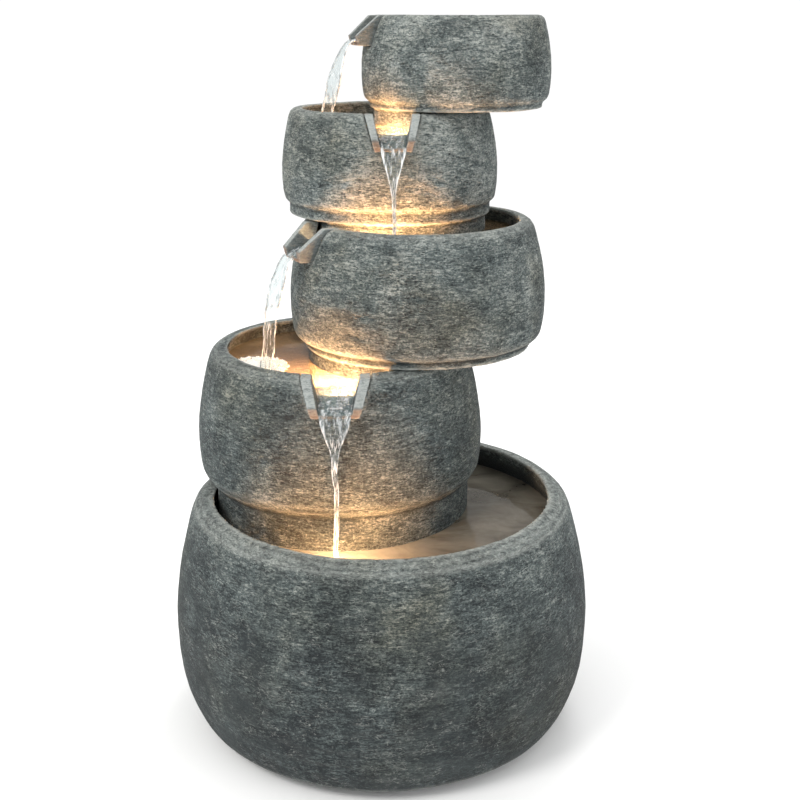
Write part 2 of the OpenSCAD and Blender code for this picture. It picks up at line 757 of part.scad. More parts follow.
module sweep(route, r, bend = BEND) {
    p = rounded(route, bend);
    t = tangents(p);
    u = normals(t);
    n = CABLE_SIDES;
    points = [for (i = [0:len(p) - 1]) for (j = [0:n - 1])
        p[i] + r * (cos(360 * j / n) * u[i] + sin(360 * j / n) * cross(t[i], u[i]))];
    sides = [for (i = [0:len(p) - 2]) for (j = [0:n - 1])
        [i * n + j, (i + 1) * n + j, (i + 1) * n + (j + 1) % n, i * n + (j + 1) % n]];
    first = [for (j = [0:n - 1]) j];
    last = [for (j = [n - 1:-1:0]) (len(p) - 1) * n + j];
    polyhedron(points, concat([first, last], sides), convexity = 6);
}

// Plug positions over the junction box for the lamps of the second to the fourth bowl
PLUG_AT = [[21, 88], [30, 88], [39, 88]];
PLUG_Z0 = 52;
PLUG_Z1 = 72;
PLUG_R = 3.6;
PLUG_GRIP = 15;
CABLE_UP = 12;
COLLAR_TOP = [for (b = [BASE:FOURTH]) RIM[b] - COLLAR_DROP + CABLE_UP];
FLOOR_RUN = [for (b = [BASE:FOURTH]) FLOOR[b] + 4];
LAMP_ROUTES = [
    [
        [-45, -176.9, 230], [-45, -164, 230], [-42, -150, 40], [-42, -95, 34],
        [-74, 0, 34], [-74, 94, 36], [-20, 94, 42], [7.9, 94, 44]
    ],
    [
        [21, 88, PLUG_Z1], [21, 88, COLLAR_TOP[1]], [5, 84, COLLAR_TOP[1]], [5, 80, FLOOR_RUN[1]],
        [-10, 10, FLOOR_RUN[1]], [-62, -40, FLOOR_RUN[1]], [-62, -58.9, FLOOR_RUN[1] + 10]
    ],
    [
        [30, 88, PLUG_Z1], [30, 88, COLLAR_TOP[2]], [5, 84, COLLAR_TOP[2]], [5, 80, FLOOR_RUN[2]],
        [4, 20, FLOOR_RUN[2]], [12, -15, FLOOR_RUN[2]], [12, -38.9, FLOOR_RUN[2] + 10]
    ],
    [
        [39, 88, PLUG_Z1], [39, 88, COLLAR_TOP[3]], [56, 84, COLLAR_TOP[3]], [56, 72, FLOOR_RUN[3]],
        [58, 46, FLOOR_RUN[3]], [46, 26, FLOOR_RUN[3]], [23, 30, FLOOR_RUN[3]], [4, 34, FLOOR_RUN[3]],
        [0, 18.1, FLOOR_RUN[3] + 9]
    ]
];

module lamp_cable(n) {
    color([0.05, 0.05, 0.05]) sweep(LAMP_ROUTES[n - 1], cable_r);
}

module lamp_plug(n) {
    color([0.08, 0.08, 0.08]) translate([PLUG_AT[n - 2].x, PLUG_AT[n - 2].y, PLUG_Z0]) {
        cylinder(r = PLUG_R, h = PLUG_GRIP);
        translate([0, 0, PLUG_GRIP])
            cylinder(r1 = PLUG_R, r2 = cable_r + 0.4, h = PLUG_Z1 - PLUG_Z0 - PLUG_GRIP);
    }
}

LEAD_ROUTE = [[-45, 60, 56], [-58, 62, 56], [-58, 108, 50], [7.8, 108, 46]];
LEAD_R = 3;
LEAD_BEND = 10;

module pump_lead() {
    color([0.05, 0.05, 0.05]) sweep(LEAD_ROUTE, LEAD_R, LEAD_BEND);
}

// ---- Junction box that the lamp plugs push into ----
BOX_AT = [8, 80];
BOX_SIZE = [44, 36];
BOX_Z0 = FLOOR[BASE];
BOX_Z1 = 56;
BOX_WALL = 2.5;
LID_H = 3;
SOCKET_R = 5.3;
SOCKET_H = 14;
SOCKET_BORE = 4;
INLET_AT = [20, 108];
INLET_R = 5.5;
INLET_H = 7;

module junction_box() {
    size = [BOX_SIZE.x, BOX_SIZE.y, BOX_Z1 - BOX_Z0];
    color([0.14, 0.14, 0.15]) translate([BOX_AT.x, BOX_AT.y, BOX_Z0]) difference() {
        cube(size);
        translate([BOX_WALL, BOX_WALL, BOX_WALL])
            cube([size.x - 2 * BOX_WALL, size.y - 2 * BOX_WALL, size.z]);
    }
}

module junction_lid() {
    color([0.17, 0.17, 0.18]) difference() {
        union() {
            translate([BOX_AT.x, BOX_AT.y, BOX_Z1 + 0.1]) cube([BOX_SIZE.x, BOX_SIZE.y, LID_H]);
            for (p = PLUG_AT)
                translate([p.x, p.y, PLUG_Z0 - 3]) cylinder(r = SOCKET_R, h = SOCKET_H);
            translate([INLET_AT.x, INLET_AT.y, BOX_Z1 + LID_H]) cylinder(r = INLET_R, h = INLET_H);
        }
        for (p = PLUG_AT)
            translate([p.x, p.y, PLUG_Z0 - 0.5]) cylinder(r = SOCKET_BORE, h = 20);
        translate([INLET_AT.x, INLET_AT.y, BOX_Z1 - 1]) cylinder(r = SEAL_BORE, h = 20);
    }
}

// ---- Bowls and spouts by name ----
module second_bowl() {
    color([0.42, 0.47, 0.46]) middle_bowl(SECOND);
}

module third_bowl() {
    color([0.43, 0.48, 0.47]) middle_bowl(THIRD);
}

module fourth_bowl() {
    color([0.43, 0.48, 0.47]) middle_bowl(FOURTH);
}

module bonded_spout(b) {
    color([0.48, 0.53, 0.52]) spout(b);
}

base_bowl();
second_bowl();
third_bowl();
fourth_bowl();
top_bowl();
for (b = [SECOND:TOP])
    bonded_spout(b);
base_feet();
gland_body();
gland_nut();
gland_seal();
riser_tube();
outlet_fitting();
outlet_washer();
outlet_nut();
pump_body();
pump_shaft();
pump_impeller();
pump_cover();
pump_screws();
pump_strainer();
filter_foam();
flow_dial();
pump_cups();
pump_lead();
junction_box();
junction_lid();
for (n = LAMPS) {
    lamp_housing(n);
    lamp_board(n);
    lamp_lens(n);
    lamp_cup(n);
    lamp_cable(n);
}
for (n = [2:4])
    lamp_plug(n);
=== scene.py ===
"""Looks of a five-bowl cascading water fountain: cast stone, running water and underwater lamps."""
import json
import math

import bmesh
import bpy
import numpy as np
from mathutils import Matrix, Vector
from mathutils.bvhtree import BVHTree


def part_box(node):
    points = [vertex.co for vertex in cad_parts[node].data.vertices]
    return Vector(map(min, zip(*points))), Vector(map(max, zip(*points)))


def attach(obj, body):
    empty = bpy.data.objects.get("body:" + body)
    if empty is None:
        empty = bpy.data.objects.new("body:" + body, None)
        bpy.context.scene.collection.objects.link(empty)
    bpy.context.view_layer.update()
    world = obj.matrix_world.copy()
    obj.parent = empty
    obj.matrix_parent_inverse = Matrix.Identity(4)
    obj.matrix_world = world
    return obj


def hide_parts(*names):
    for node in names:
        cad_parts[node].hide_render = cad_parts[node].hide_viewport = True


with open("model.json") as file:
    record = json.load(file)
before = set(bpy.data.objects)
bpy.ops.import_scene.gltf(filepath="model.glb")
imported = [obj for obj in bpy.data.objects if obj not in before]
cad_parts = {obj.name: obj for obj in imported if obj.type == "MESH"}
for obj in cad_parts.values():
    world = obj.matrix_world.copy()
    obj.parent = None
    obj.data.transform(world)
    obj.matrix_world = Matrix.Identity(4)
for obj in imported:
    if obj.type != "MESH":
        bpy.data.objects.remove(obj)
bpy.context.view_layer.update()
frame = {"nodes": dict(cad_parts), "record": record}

MM = 0.001
GRAVITY = 9.81
UP = Vector((0, 0, 1))

# ---- The bowls and their spouts, from the base up ----
NAMES = ["base", "second", "third", "fourth", "top"]
WALL = {"base": 23 * MM, "second": 20 * MM, "third": 16 * MM, "fourth": 15 * MM, "top": 14 * MM}
# Size of the facets that each bowl's skin is made of
GRAIN = {"base": 3.5 * MM, "second": 2.6 * MM, "third": 2.4 * MM, "fourth": 2.1 * MM, "top": 1.9 * MM}
SPOUT_GRAIN = 1.3 * MM
# Water level under the rim
FREEBOARD = {"base": 33 * MM, "second": 17 * MM, "third": 17 * MM, "fourth": 17 * MM, "top": 14.5 * MM}


def bowl_axis(name):
    low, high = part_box(name + "_bowl")
    return Vector(((low.x + high.x) / 2, (low.y + high.y) / 2, 0))


def rim_height(name):
    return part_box(name + "_bowl")[1].z


def water_level(name):
    return rim_height(name) - FREEBOARD[name]


# ---- Camera ----
CAMERA_AT = (0.0234, -1.4065, 0.8589)
# Angle between the camera's aim and straight down
CAMERA_TILT = math.radians(72.33)
CAMERA_LENS = 54.28


def make_camera():
    data = bpy.data.cameras.new("camera")
    data.lens = CAMERA_LENS
    data.sensor_width = 36
    data.clip_end = 50
    camera = bpy.data.objects.new("camera", data)
    camera.location = CAMERA_AT
    camera.rotation_euler = (CAMERA_TILT, 0, 0)
    bpy.context.scene.collection.objects.link(camera)
    bpy.context.scene.camera = camera


make_camera()


# ---- Seeded noise for shapes ----
TABLE_SIZE = 4096
TABLE = np.random.default_rng(11).random(TABLE_SIZE)
PRIMES = (73856093, 19349663, 83492791)
SEED_FACTOR = 2654435


def lattice(cell, seed):
    """A fixed random number from 0 to 1 for each whole-numbered cell."""
    parts = cell * np.array(PRIMES)
    mixed = parts[:, 0] ^ parts[:, 1] ^ parts[:, 2] ^ (seed * SEED_FACTOR)
    return TABLE[(mixed ^ (mixed >> 13)) % TABLE_SIZE]


def smooth_noise(points, seed):
    """Value noise from -1 to 1, one cell per unit of the points."""
    cell = np.floor(points).astype(np.int64)
    part = points - cell
    part = part * part * (3 - 2 * part)
    total = np.zeros(len(points))
    for corner in np.ndindex(2, 2, 2):
        weight = np.ones(len(points))
        for axis in range(3):
            weight *= part[:, axis] if corner[axis] else 1 - part[:, axis]
        total += weight * lattice(cell + np.array(corner), seed)
    return total * 2 - 1


def fractal(points, size, seed, octaves=3):
    """Noise in layers: size is the length of its largest features, per axis or for all."""
    total = np.zeros(len(points))
    for k in range(octaves):
        total += smooth_noise(points / np.array(size) * 2 ** k, seed + k) * 0.5 ** k
    return total / (2 - 0.5 ** (octaves - 1))


def smoothstep(low, high, value):
    t = np.clip((value - low) / (high - low), 0, 1)
    return t * t * (3 - 2 * t)


# ---- Mesh helpers ----
def link(obj):
    bpy.context.scene.collection.objects.link(obj)
    return obj


def piece_of(name, mesh, material, body):
    """A new visible piece from a mesh, with its material, body and slot."""
    mesh.polygons.foreach_set("use_smooth", [True] * len(mesh.polygons))
    mesh.materials.clear()
    mesh.materials.append(material)
    obj = link(bpy.data.objects.new(name, mesh))
    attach(obj, body)
    return obj


def mesh_from(name, points, faces):
    mesh = bpy.data.meshes.new(name)
    mesh.from_pydata([tuple(p) for p in points], [], [tuple(f) for f in faces])
    mesh.update()
    return mesh


def points_of(mesh):
    flat = np.empty(len(mesh.vertices) * 3)
    mesh.vertices.foreach_get("co", flat)
    return flat.reshape(-1, 3)


def normals_of(mesh):
    flat = np.empty(len(mesh.vertices) * 3)
    mesh.vertices.foreach_get("normal", flat)
    return flat.reshape(-1, 3)


def edges_of(mesh):
    flat = np.empty(len(mesh.edges) * 2, np.int64)
    mesh.edges.foreach_get("vertices", flat)
    return flat.reshape(-1, 2)


def move_points(mesh, points):
    mesh.vertices.foreach_set("co", points.ravel())
    mesh.update()


def store(mesh, name, values):
    attribute = mesh.attributes.new(name, "FLOAT", "POINT")
    attribute.data.foreach_set("value", values.astype(np.float32))


def spread(values, edges, rounds):
    """Average values over mesh neighbours, several times."""
    count = np.bincount(edges.ravel(), minlength=len(values)).astype(float)
    count = np.maximum(count, 1)
    shape = (-1,) + (1,) * (values.ndim - 1)
    for _ in range(rounds):
        total = np.zeros_like(values)
        np.add.at(total, edges[:, 0], values[edges[:, 1]])
        np.add.at(total, edges[:, 1], values[edges[:, 0]])
        values = 0.5 * values + 0.5 * total / count.reshape(shape)
    return values


def even_skin(node, size):
    """A copy of a CAD node's closed surface, remade of even facets."""
    built = bmesh.new()
    built.from_mesh(frame["nodes"][node].data)
    bmesh.ops.remove_doubles(built, verts=built.verts, dist=0.02 * MM)
    mesh = bpy.data.meshes.new(node + "_skin")
    built.to_mesh(mesh)
    built.free()
    temporary = link(bpy.data.objects.new(node + "_skin", mesh))
    remesh = temporary.modifiers.new("even", "REMESH")
    remesh.mode = "VOXEL"
    remesh.voxel_size = size
    bpy.context.view_layer.update()
    evaluated = temporary.evaluated_get(bpy.context.evaluated_depsgraph_get())
    result = bpy.data.meshes.new_from_object(evaluated)
    bpy.data.objects.remove(temporary)
    return result


# ---- Material helpers ----
def linear(code):
    """A colour code such as 5f6a68 as linear red, green, blue and 1."""
    parts = [int(code[i:i + 2], 16) / 255 for i in (0, 2, 4)]
    return [p / 12.92 if p <= 0.04045 else ((p + 0.055) / 1.055) ** 2.4 for p in parts] + [1]


class Nodes:
    """A material and short calls that add and join its shader nodes."""

    def __init__(self, name):
        self.material = bpy.data.materials.new(name)
        self.material.use_nodes = True
        self.tree = self.material.node_tree
        self.tree.nodes.clear()
        self.out = self.tree.nodes.new("ShaderNodeOutputMaterial")

    def put(self, socket, value):
        if isinstance(value, bpy.types.NodeSocket):
            self.tree.links.new(value, socket)
        else:
            socket.default_value = value

    def add(self, kind, settings=None, **inputs):
        node = self.tree.nodes.new("ShaderNode" + kind)
        for key, value in (settings or {}).items():
            setattr(node, key, value)
        for key, value in inputs.items():
            self.put(node.inputs[key.replace("_", " ")], value)
        return node

    def place(self, scale=(1, 1, 1)):
        """Object coordinates, stretched by scale."""
        where = self.add("TexCoord").outputs["Object"]
        return self.add("Mapping", Vector=where, Scale=scale).outputs[0]

    def noise(self, place, scale, detail=3.0, rough=0.55, distort=0.0):
        return self.add("TexNoise", Vector=place, Scale=scale, Detail=detail, Roughness=rough,
                        Distortion=distort).outputs["Fac"]

    def ramp(self, value, stops):
        node = self.add("ValToRGB", Fac=value)
        marks = node.color_ramp.elements
        while len(marks) < len(stops):
            marks.new(0.5)
        for mark, (position, colour) in zip(marks, stops):
            mark.position = position
            mark.color = colour if isinstance(colour, (list, tuple)) else (colour, colour, colour, 1)
        return node.outputs["Color"]

    def math(self, kind, a, b=0.5, c=None):
        node = self.tree.nodes.new("ShaderNodeMath")
        node.operation = kind
        for socket, value in zip(node.inputs, (a, b, c)):
            if value is not None:
                self.put(socket, value)
        return node.outputs[0]

    def mix(self, share, a, b, blend="MIX"):
        node = self.tree.nodes.new("ShaderNodeMix")
        node.data_type = "RGBA"
        node.blend_type = blend
        self.put(node.inputs[0], share)
        self.put(node.inputs[6], a)
        self.put(node.inputs[7], b)
        return node.outputs[2]

    def bump(self, height, strength, distance):
        return self.add("Bump", Height=height, Strength=strength, Distance=distance).outputs[0]

    def attribute(self, name):
        return self.add("Attribute", {"attribute_name": name}).outputs["Fac"]

    def finish(self, shader):
        self.tree.links.new(shader, self.out.inputs["Surface"])
        return self.material


LIP_BROWN = linear("6e4a30")
# Dark colour of the lining: stone darkened by water, and painted shade
DARK_WET_AND_PAINTED_SHADE = linear("23282a")
BUMP_DEPTH = 2.6 * MM


def stone(name, dark, mid, light, warm, marks, strength):
    """Weathered cast stone: brushed strata, blotches, light worms, dark pits and worn edges.

    marks is how strongly blotches and worms show, and strength is that of the bump.
    """
    n = Nodes(name)
    plain = n.place()
    layered = n.place((1, 1, 4.0))
    patches = n.noise(plain, 12, 5, 0.68, 0.7)
    strata = n.noise(layered, 50, 6, 0.74, 0.5)
    threads = n.noise(layered, 130, 4, 0.74, 1.0)
    speck = n.noise(plain, 380, 3, 0.75)
    # Tone from the strata, threads and specks, shifted by the patches
    tone = n.math("MULTIPLY_ADD", threads, 1.3, n.math("MULTIPLY_ADD", strata, 0.7, -0.5))
    tone = n.math("ADD", tone, n.math("MULTIPLY_ADD", patches, 0.8, -0.4))
    tone = n.math("ADD", tone, n.math("MULTIPLY_ADD", speck, 0.8, -0.4))
    # Painted shade: the tone is darker where a bowl is marked shaded, most at the lower bowls' feet
    tone = n.math("SUBTRACT", tone, n.math("MULTIPLY", n.attribute("shade"), 0.35))
    colour = n.ramp(tone, [(0.23, dark), (0.5, mid), (0.8, light)])
    tint = n.noise(plain, 6.5, 4, 0.6, 0.2)
    warmed = n.mix(1.0, colour, warm, "MULTIPLY")
    colour = n.mix(n.ramp(tint, [(0.47, 0.0), (0.68, 0.75)]), colour, warmed)
    # Irregular dark blotches, and larger stains where more painted shade is marked
    blotch = n.ramp(n.noise(n.place((1, 1, 1.7)), 24, 6, 0.72, 0.9), [(0.52, 0.0), (0.66, 0.6)])
    stain = n.ramp(n.noise(n.place((1, 1, 1.4)), 9, 5, 0.7, 0.8), [(0.48, 0.0), (0.6, 0.85)])
    blotch = n.math("MAXIMUM", blotch, n.math("MULTIPLY", stain, n.attribute("shade")))
    colour = n.mix(n.math("MULTIPLY", blotch, marks), colour, n.mix(0.3, dark, mid))
    # Light worms of raised grain, in patches
    worm_noise = n.noise(n.place((1, 1, 2.9)), 80, 2, 0.5, 0.7)
    worm = n.ramp(n.math("ABSOLUTE", n.math("SUBTRACT", worm_noise, 0.5)), [(0.0, 1.0), (0.032, 0.0)])
    where = n.ramp(n.noise(plain, 38, 4, 0.8), [(0.5, 0.0), (0.62, 1.0)])
    worm = n.math("MULTIPLY", n.math("MULTIPLY", worm, where), marks)
    colour = n.mix(n.math("MULTIPLY", worm, 0.65), colour, light)
    # Small dark pits
    pits = n.add("TexVoronoi", {"feature": "F1"}, Vector=layered, Scale=130).outputs["Distance"]
    pit_where = n.ramp(n.noise(plain, 45, 3, 0.7), [(0.45, 0.0), (0.58, 1.0)])
    pit = n.math("MULTIPLY", n.ramp(pits, [(0.14, 1.0), (0.3, 0.0)]), pit_where)
    colour = n.mix(n.math("MULTIPLY", pit, 0.9), colour, dark)
    # Edges are lighter from wear, and spout ear tops lighter as a painted highlight; hollows are darker, and
    # spout flanks darker as painted shade; the spouts' lips are brown; the inner lining is dark and glossy,
    # from water and from painted shade
    wear_and_painted_highlight = n.math("MULTIPLY", n.attribute("wear_and_painted_highlight"), n.ramp(threads, [(0.35, 0.35), (0.6, 1.0)]))
    colour = n.mix(wear_and_painted_highlight, colour, light)
    colour = n.mix(n.attribute("dark_hollows_and_painted_shade"), colour, dark)
    colour = n.mix(n.attribute("lip_brown"), colour, LIP_BROWN)
    wet_and_painted_shade = n.attribute("wet_and_painted_shade")
    # The lining is darkened partly by water and partly as painted shade
    colour = n.mix(n.math("MULTIPLY", wet_and_painted_shade, 0.85), colour, DARK_WET_AND_PAINTED_SHADE)
    height = n.math("ADD", n.math("MULTIPLY", strata, 0.9), n.math("MULTIPLY", threads, 1.0))
    height = n.math("ADD", height, n.math("MULTIPLY", speck, 0.5))
    height = n.math("ADD", height, n.math("MULTIPLY", worm, 0.45))
    height = n.math("SUBTRACT", height, n.math("MULTIPLY", pit, 0.8))
    hammer = n.noise(n.place((1, 1, 1.8)), 34, 4, 0.6, 0.8)
    height = n.math("ADD", height, n.math("MULTIPLY", hammer, 1.3))
    normal = n.bump(height, strength, BUMP_DEPTH)
    rough = n.math("SUBTRACT", n.ramp(tone, [(0.2, 0.78), (0.8, 0.93)]), n.math("MULTIPLY", wet_and_painted_shade, 0.45))
    shader = n.add("BsdfPrincipled", Base_Color=colour, Roughness=rough, Normal=normal)
    shader.inputs["Specular IOR Level"].default_value = 0.35
    return n.finish(shader.outputs[0])


def moulded(name, colour, other, rough, grain, bump, metal=0.0, scale=(1, 1, 1)):
    """Plastic, rubber, ceramic or metal with fine grain, faint mottling and uneven gloss."""
    n = Nodes(name)
    place = n.place(scale)
    grain_noise = n.noise(place, grain, 3, 0.6)
    mottle = n.noise(place, 60, 3, 0.6)
    base = n.ramp(mottle, [(0.35, colour), (0.7, other)])
    uneven = [(0.3, max(rough - 0.12, 0.03)), (0.7, min(rough + 0.12, 1))]
    gloss = n.ramp(n.noise(place, 25, 3, 0.6), uneven)
    shader = n.add("BsdfPrincipled", Base_Color=base, Roughness=gloss, Metallic=metal,
                   Normal=n.bump(grain_noise, bump, 0.2 * MM))
    return n.finish(shader.outputs[0])


def open_foam(name):
    n = Nodes(name)
    cells = n.add("TexVoronoi", {"feature": "F1"}, Vector=n.place(), Scale=900).outputs["Distance"]
    base = n.ramp(cells, [(0.1, linear("1b2a55")), (0.6, linear("060a18"))])
    shader = n.add("BsdfPrincipled", Base_Color=base, Roughness=0.95, Normal=n.bump(cells, 0.9, 1.0 * MM))
    return n.finish(shader.outputs[0])


def lit_lens(name, strength):
    """Frosted lens that gives warm light, faintly mottled."""
    n = Nodes(name)
    cells = n.noise(n.place(), 400, 2, 0.5)
    glow = n.ramp(cells, [(0.3, linear("ffbf8a")), (0.7, linear("ffcf9e"))])
    shader = n.add("BsdfPrincipled", Base_Color=linear("e8dcc0"), Roughness=0.3, Emission_Color=glow)
    shader.inputs["Emission Strength"].default_value = strength
    return n.finish(shader.outputs[0])


def clear_tube(name):
    n = Nodes(name)
    cloud = n.noise(n.place((1, 1, 0.2)), 120, 3, 0.6)
    haze = n.ramp(cloud, [(0.35, linear("9fb0ae")), (0.7, linear("c4cfcd"))])
    shader = n.add("BsdfPrincipled", Base_Color=haze, Roughness=0.18, IOR=1.5, Alpha=0.55)
    return n.finish(shader.outputs[0])


def pool_water(name, shallow, deep, opacity):
    """Standing water: gloss over a cloudy tint that the lamps below shine through."""
    n = Nodes(name)
    cloud = n.noise(n.place((1, 1.4, 1)), 16, 4, 0.6, 0.6)
    colour = n.ramp(cloud, [(0.35, deep), (0.68, shallow)])
    surface = n.add("BsdfPrincipled", Base_Color=colour, Roughness=0.02, IOR=1.33)
    glow = n.add("BsdfTranslucent", Color=colour)
    clear = n.add("BsdfTransparent", Color=linear("fff1dc"))
    murk = n.add("MixShader")
    murk.inputs[0].default_value = 0.35
    n.put(murk.inputs[1], surface.outputs[0])
    n.put(murk.inputs[2], glow.outputs[0])
    mixed = n.add("MixShader")
    mixed.inputs[0].default_value = opacity
    n.put(mixed.inputs[1], clear.outputs[0])
    n.put(mixed.inputs[2], murk.outputs[0])
    return n.finish(mixed.outputs[0])


def falling_water(name):
    """Moving water: clear, with white edges, threads of air along the flow and painted highlights in the
    channel where marked white.
    """
    n = Nodes(name)
    along = n.place((1, 1, 0.2))
    threads = n.noise(along, 420, 4, 0.65, 1.0)
    share = n.math("MULTIPLY", n.attribute("white"), n.ramp(threads, [(0.36, 0.55), (0.62, 1.0)]))
    tone = n.ramp(n.noise(along, 230, 4, 0.7, 0.8), [(0.42, linear("7d8588")), (0.6, linear("f4f7f8"))])
    body = n.add("BsdfPrincipled", Base_Color=tone, Roughness=0.12, IOR=1.33,
                 Normal=n.bump(threads, 0.6, 0.8 * MM))
    clear = n.add("BsdfTransparent", Color=linear("f2f6f6"))
    mixed = n.add("MixShader")
    n.put(mixed.inputs[0], share)
    n.put(mixed.inputs[1], clear.outputs[0])
    n.put(mixed.inputs[2], body.outputs[0])
    return n.finish(mixed.outputs[0])


def bubble_white(name):
    n = Nodes(name)
    tone = n.ramp(n.noise(n.place(), 320, 3, 0.6), [(0.3, linear("efe6da")), (0.7, linear("fffdf8"))])
    shader = n.add("BsdfPrincipled", Base_Color=tone, Roughness=0.22, IOR=1.33,
                   Normal=n.bump(n.noise(n.place(), 900, 2), 0.2, 0.3 * MM))
    return n.finish(shader.outputs[0])


WARM = linear("d9cdb8")
STONE = stone("weathered_stone", linear("1f2528"), linear("5f6968"), linear("b4b8b2"), WARM,
              marks=1.0, strength=1.0)
SPOUT_STONE = stone("spout_stone", linear("464c4d"), linear("79817f"), linear("a6aaa7"), WARM,
                    marks=0.25, strength=0.45)
# The upper pools' gold water is painted lamplight: its warm tint stands in for the lamps' glow; the base's
# pool is grey
POOL_PAINTED_LAMPLIGHT = pool_water("pool_water_painted_lamplight", linear("c0a580"), linear("7c6a58"), 0.5)
POOL_GREY = pool_water("pool_water_grey", linear("a8a294"), linear("7d776b"), 0.66)
FALLING = falling_water("falling_water")
BUBBLES = bubble_white("bubbles")
# Strength of each lamp, in the pools of the base to the fourth bowl
LAMP_STRENGTH = {"lamp_1_lens": 2100.0, "lamp_2_lens": 1450.0, "lamp_3_lens": 1500.0,
                 "lamp_4_lens": 400.0}

FINISHES = {
    "rubber": moulded("rubber", linear("161616"), linear("222222"), 0.75, 700, 0.4),
    "black_plastic": moulded("black_plastic", linear("15171a"), linear("1f2226"), 0.42, 1200, 0.3),
    "grey_plastic": moulded("grey_plastic", linear("6d7174"), linear("7c8083"), 0.4, 1200, 0.25),
    "clear_tube": clear_tube("clear_tube"),
    "ceramic_shaft": moulded("ceramic", linear("ece9e0"), linear("f6f4ee"), 0.2, 1500, 0.05),
    "magnet_rotor": moulded("magnet_rotor", linear("2a2a2e"), linear("3a3a40"), 0.5, 800, 0.3),
    "steel": moulded("steel", linear("9fa1a4"), linear("c2c4c6"), 0.28, 1800, 0.2, 1.0, (1, 8, 8)),
    "foam": open_foam("foam"),
    "cable": moulded("cable_sheath", linear("101010"), linear("1b1b1b"), 0.6, 600, 0.3),
    "led_board": moulded("led_board", linear("e9e2cf"), linear("f5f0e2"), 0.35, 700, 0.2),
}


def finish_cad_nodes():
    """Gives every carried-over CAD node the material of its slot."""
    slots = {part["node"]: part["material_slot"] for part in frame["record"]["subparts"]}
    for node, obj in frame["nodes"].items():
        finish = FINISHES.get(slots[node])
        if node in LAMP_STRENGTH:
            finish = lit_lens("lit_" + node, LAMP_STRENGTH[node])
        if finish:
            obj.data.materials.clear()
            obj.data.materials.append(finish)


# ---- Cast stone ----
def worn(mesh, strength):
    """How far each point stands out of its surroundings, from -1 in a hollow to 1 on an edge."""
    points, edges = points_of(mesh), edges_of(mesh)
    proud = ((points - spread(points, edges, 8)) * normals_of(mesh)).sum(1)
    return np.clip(proud / strength, -1, 1)


# Depth in millimetres of the strata pressed into each bowl and its spout
STRATA = {"base": 0.2, "second": 0.25, "third": 0.25, "fourth": 0.25, "top": 0.25}


def roughen(mesh, name, seed, relief, grain):
    """Presses strata, dents and ridges into a cast surface, and returns their relief from -1 to 1."""
    points, normals = points_of(mesh), normals_of(mesh)
    local = points - np.array(bowl_axis(name))
    layer = max(5 * MM, 3.5 * grain)
    waved = local.copy()
    waved[:, 2] += fractal(local, 75 * MM, seed + 40, 3) * 12 * MM
    swell = fractal(local, 60 * MM, seed, 2) * 0.9
    strata = fractal(waved, np.array([30 * MM, 30 * MM, layer]), seed + 10, 2) * STRATA[name]
    dents = -smoothstep(0.4, 0.7, fractal(waved, np.array([20, 20, 13]) * MM, seed + 20, 2)) * 1.1
    raised = fractal(waved, np.array([18 * MM, 18 * MM, layer]), seed + 30, 2)
    ridges = smoothstep(0.35, 0.6, raised) * STRATA[name]
    side = 1 - 0.75 * np.abs(normals[:, 2])
    detail = (strata + dents + ridges) * side
    move_points(mesh, points + normals * ((swell + detail) * relief * MM)[:, None])
    return np.clip(detail, -1, 1)


def near_joint(mesh, other, reach):
    """1 next to another piece's surface, falling to 0 at reach."""
    tree = BVHTree.FromPolygons([v.co for v in other.vertices], [list(p.vertices) for p in other.polygons])
    points = points_of(mesh)
    result = np.zeros(len(points))
    corners = np.array([v.co for v in other.vertices])
    lo, hi = corners.min(0) - reach, corners.max(0) + reach
    for i in np.nonzero(((points > lo) & (points < hi)).all(1))[0]:
        found = tree.find_nearest(Vector(points[i]), reach)
        if found[0] is not None:
            result[i] = 1 - found[3] / reach
    return result


# Painted shade: how dark each bowl's stone is painted at its foot and at its rim
SHADE = {"base": (0.8, 0.2), "second": (0.3, 0.2), "third": (0.3, 0.0), "fourth": (0.0, -0.2),
         "top": (0.1, -0.2)}


def height_share(mesh):
    """0 at the lowest point of a mesh and 1 at its highest."""
    heights = points_of(mesh)[:, 2]
    return (heights - heights.min()) / (heights.max() - heights.min())


def water_and_painted_shade_lining(name, mesh):
    """1 on the inner lining from a little under the rim down, darkened by water and by painted shade."""
    points, normals = points_of(mesh), normals_of(mesh)
    away = points - np.array(bowl_axis(name))
    reach = np.linalg.norm(away[:, :2], axis=1) + 1e-9
    inward = -(away[:, :2] * normals[:, :2]).sum(1) / reach
    line_wobble = 7 * MM * fractal(points, 30 * MM, 5, 2)
    line = rim_height(name) - 12 * MM + line_wobble
    return smoothstep(0.2, 0.6, inward) * smoothstep(0, 10 * MM, line - points[:, 2])


